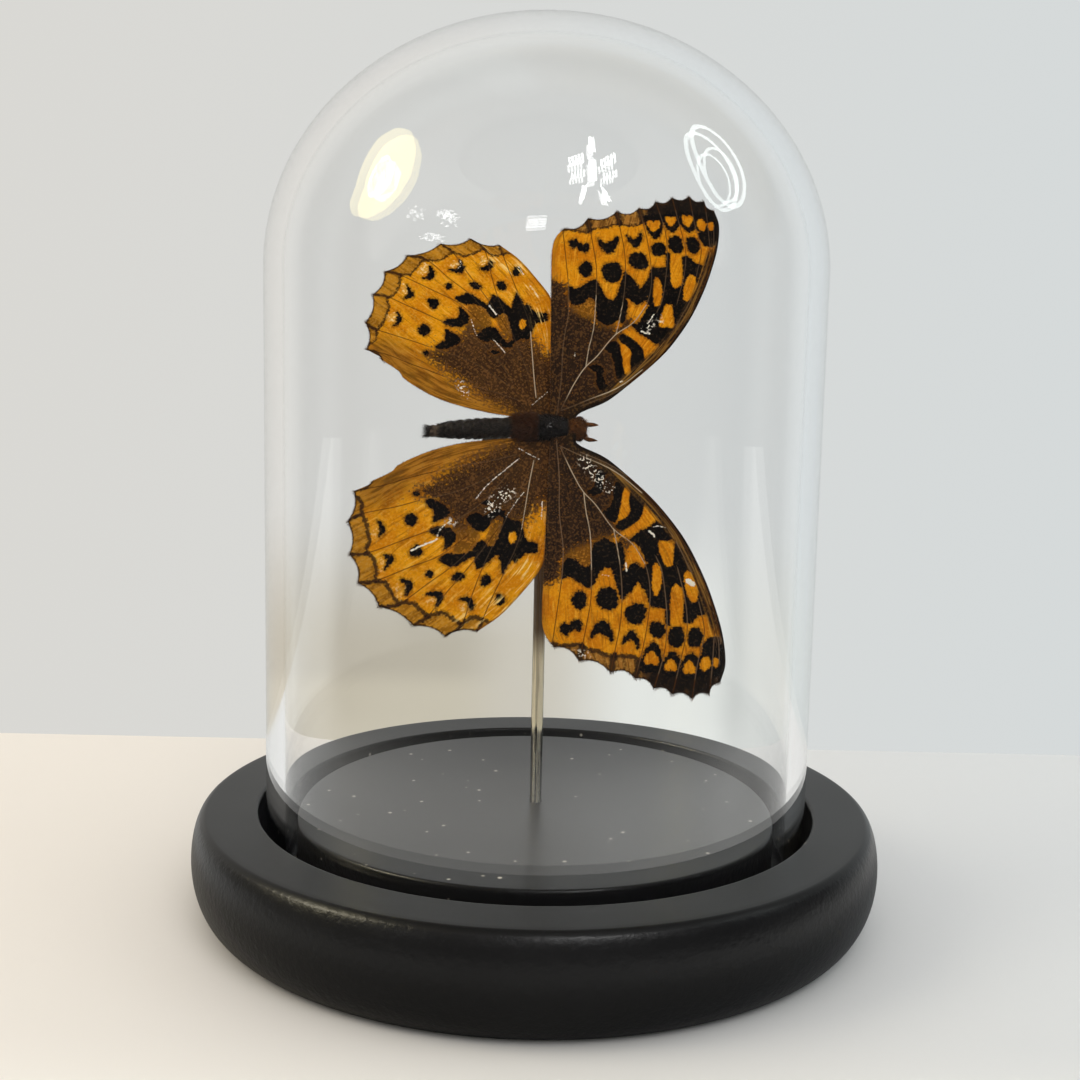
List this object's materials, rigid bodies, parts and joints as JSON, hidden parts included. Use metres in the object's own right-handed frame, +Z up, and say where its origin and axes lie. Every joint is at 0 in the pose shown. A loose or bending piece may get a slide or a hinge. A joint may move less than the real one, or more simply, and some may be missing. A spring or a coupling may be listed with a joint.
{
  "type": "insect in glass dome",
  "caption": "Dried butterfly with spread wings on a steel pin, inside a clear glass dome that stands in the groove of a round black wooden base.",
  "frame": {"origin": "middle of the base's flat underside", "axes": "+Z up along the dome's axis; the butterfly shows its top side to -Y, and its head points to +X"},
  "size_m": [0.1142, 0.1142, 0.1446],
  "materials": {
    "painted_wood": "satin black paint",
    "dome_glass": "clear polished",
    "pin_steel": "bright drawn steel",
    "insect_body": "dark chitin with brown hair",
    "wing_membrane": "dry matt wing scales"
  },
  "bodies": {
    "root": {"base": "painted_wood", "glass_dome": "dome_glass", "pin": "pin_steel", "body": "insect_body", "left_forewing": "wing_membrane", "right_forewing": "wing_membrane", "left_hindwing": "wing_membrane", "right_hindwing": "wing_membrane"}
  },
  "joints": []
}
